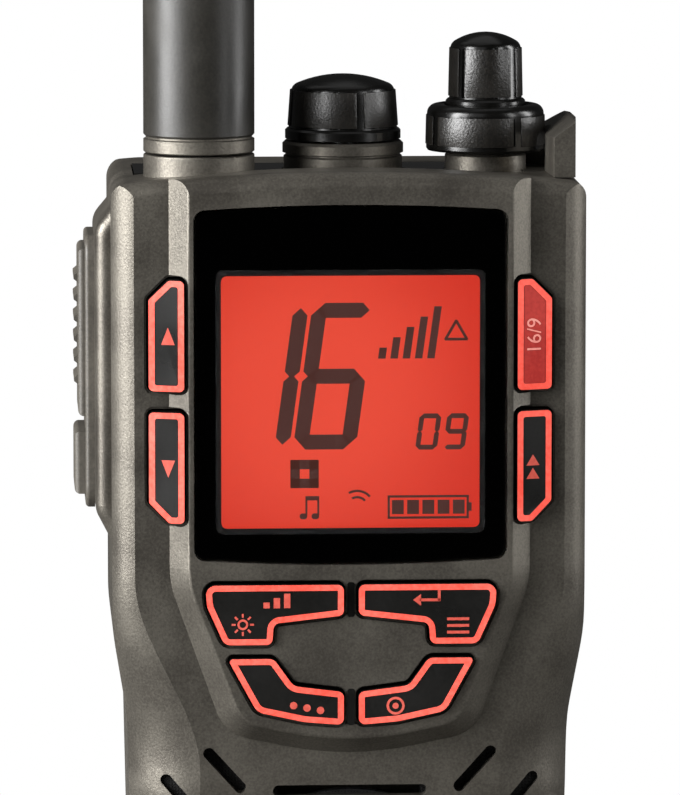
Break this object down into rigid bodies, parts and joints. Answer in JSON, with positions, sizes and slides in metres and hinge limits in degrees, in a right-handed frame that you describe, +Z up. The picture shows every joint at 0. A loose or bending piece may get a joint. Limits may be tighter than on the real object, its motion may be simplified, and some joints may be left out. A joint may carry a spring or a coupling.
{
  "type": "vhf marine radio",
  "caption": "Handheld VHF marine radio with antenna, display, keypad, press-to-talk keys, three rotary controls, speaker, belt clip and a battery bay.",
  "frame": {"origin": "centre of the flat base on which the radio stands", "axes": "+Z up along the antenna, the display faces -Y, the press-to-talk keys are on -X"},
  "size_m": [0.0646, 0.0497, 0.2567],
  "materials": {
    "housing_plastic": "fine-grained gunmetal satin, moulded",
    "black_plastic": "satin black",
    "gloss_black": "polished black acrylic",
    "antenna_rubber": "satin over-moulded rubber",
    "knob_rubber": "textured over-moulded rubber",
    "side_rubber": "satin silicone",
    "key_silicone": "translucent lit silicone",
    "red_silicone": "red lit silicone",
    "lcd": "red backlit display",
    "white_plastic": "moulded white",
    "board": "green solder resist",
    "nickel": "nickel plate",
    "steel": "plated",
    "diecast": "as cast",
    "gold_contact": "gold plated",
    "gasket_rubber": "matt silicone",
    "membrane": "matt film",
    "cone": "matt",
    "cell": "printed sleeve"
  },
  "bodies": {
    "case": {"accessory_jack": "black_plastic", "antenna_jack": "gold_contact", "backlight": "white_plastic", "battery_cells": "cell", "battery_contacts": "nickel", "board_screws": "steel", "case_gasket": "gasket_rubber", "case_screws": "steel", "charging_contacts": "gold_contact", "chassis": "diecast", "clip_bracket": "black_plastic", "clip_pin": "steel", "clip_screws": "steel", "clip_spring": "steel", "control_nuts": "nickel", "display_lens": "gloss_black", "door_gasket": "gasket_rubber", "front_housing": "housing_plastic", "key_domes": "steel", "key_mat": "gasket_rubber", "lcd_glass": "lcd", "main_board": "board", "microphone": "nickel", "rear_housing": "housing_plastic", "shield_cans": "nickel", "side_bezel": "side_rubber", "side_switches": "black_plastic", "speaker_cone": "cone", "speaker_frame": "steel", "speaker_membrane": "membrane", "squelch_control": "black_plastic", "strap_eyelet": "housing_plastic", "top_panel": "black_plastic", "volume_control": "black_plastic"},
    "talk_key_body": {"talk_key": "side_rubber"},
    "light_key_body": {"light_key": "side_rubber"},
    "squelch_knob_body": {"squelch_knob": "knob_rubber", "squelch_shaft": "steel"},
    "channel_ring_body": {"channel_ring": "knob_rubber", "channel_shaft": "steel"},
    "volume_knob_body": {"volume_knob": "knob_rubber", "volume_shaft": "steel"},
    "antenna_lift_body": {"antenna_seal": "gasket_rubber"},
    "antenna_body": {"antenna_plug": "gold_contact", "antenna_collar": "housing_plastic", "antenna_sheath": "antenna_rubber", "antenna_coil": "steel"},
    "jack_cover_body": {"jack_cover": "side_rubber"},
    "belt_clip_body": {"belt_clip": "black_plastic"},
    "battery_door_body": {"battery_door": "housing_plastic", "door_screws": "steel"},
    "channel_up_key_body": {"channel_up_key": "key_silicone"},
    "channel_down_key_body": {"channel_down_key": "key_silicone"},
    "priority_key_body": {"priority_key": "red_silicone"},
    "scan_key_body": {"scan_key": "key_silicone"},
    "power_level_key_body": {"power_level_key": "key_silicone"},
    "enter_key_body": {"enter_key": "key_silicone"},
    "watch_key_body": {"watch_key": "key_silicone"},
    "memory_key_body": {"memory_key": "key_silicone"}
  },
  "joints": [
    {"name": "talk_press", "type": "slide", "parent": "case", "child": "talk_key_body", "axis": [1, 0, 0], "range_m": [0, 0.0008], "stiffness_N_per_m": 2500},
    {"name": "light_press", "type": "slide", "parent": "case", "child": "light_key_body", "axis": [1, 0, 0], "range_m": [0, 0.0008], "stiffness_N_per_m": 2000},
    {"name": "channel_up_press", "type": "slide", "parent": "case", "child": "channel_up_key_body", "axis": [0, 1, 0], "range_m": [0, 0.0004], "stiffness_N_per_m": 3000},
    {"name": "channel_down_press", "type": "slide", "parent": "case", "child": "channel_down_key_body", "axis": [0, 1, 0], "range_m": [0, 0.0004], "stiffness_N_per_m": 3000},
    {"name": "priority_press", "type": "slide", "parent": "case", "child": "priority_key_body", "axis": [0, 1, 0], "range_m": [0, 0.0004], "stiffness_N_per_m": 3000},
    {"name": "scan_press", "type": "slide", "parent": "case", "child": "scan_key_body", "axis": [0, 1, 0], "range_m": [0, 0.0004], "stiffness_N_per_m": 3000},
    {"name": "power_level_press", "type": "slide", "parent": "case", "child": "power_level_key_body", "axis": [0, 1, 0], "range_m": [0, 0.0004], "stiffness_N_per_m": 3000},
    {"name": "enter_press", "type": "slide", "parent": "case", "child": "enter_key_body", "axis": [0, 1, 0], "range_m": [0, 0.0004], "stiffness_N_per_m": 3000},
    {"name": "watch_press", "type": "slide", "parent": "case", "child": "watch_key_body", "axis": [0, 1, 0], "range_m": [0, 0.0004], "stiffness_N_per_m": 3000},
    {"name": "memory_press", "type": "slide", "parent": "case", "child": "memory_key_body", "axis": [0, 1, 0], "range_m": [0, 0.0004], "stiffness_N_per_m": 3000},
    {"name": "squelch_turn", "type": "hinge", "parent": "case", "child": "squelch_knob_body", "pos_m": [0, 0, 0.1274], "axis": [0, 0, 1], "range_deg": [-140, 140]},
    {"name": "channel_turn", "type": "hinge", "parent": "case", "child": "channel_ring_body", "pos_m": [0.0183, 0, 0.1269], "axis": [0, 0, 1], "continuous": true},
    {"name": "volume_turn", "type": "hinge", "parent": "case", "child": "volume_knob_body", "pos_m": [0.0183, 0, 0.132], "axis": [0, 0, 1], "range_deg": [-150, 150]},
    {"name": "antenna_lift", "type": "slide", "parent": "case", "child": "antenna_lift_body", "axis": [0, 0, 1], "range_m": [0, 0.00282]},
    {"name": "antenna_turn", "type": "hinge", "parent": "antenna_lift_body", "child": "antenna_body", "pos_m": [-0.0187, -0.0085, 0.1265], "axis": [0, 0, 1], "range_deg": [0, 1440]},
    {"name": "jack_cover_swing", "type": "hinge", "parent": "case", "child": "jack_cover_body", "pos_m": [0.02945, 0.007, 0.096], "axis": [0, 0, 1], "range_deg": [0, 100]},
    {"name": "belt_clip_open", "type": "hinge", "parent": "case", "child": "belt_clip_body", "pos_m": [0, 0.0266, 0.1122], "axis": [1, 0, 0], "range_deg": [0, 18], "stiffness_Nm_per_rad": 0.5},
    {"name": "battery_door_lift", "type": "slide", "parent": "case", "child": "battery_door_body", "axis": [0, 1, 0], "range_m": [0, 0.02]}
  ],
  "couplings": [
    {"joint": "antenna_turn", "follows": "antenna_lift", "rad_per_m": 8904.7}
  ]
}
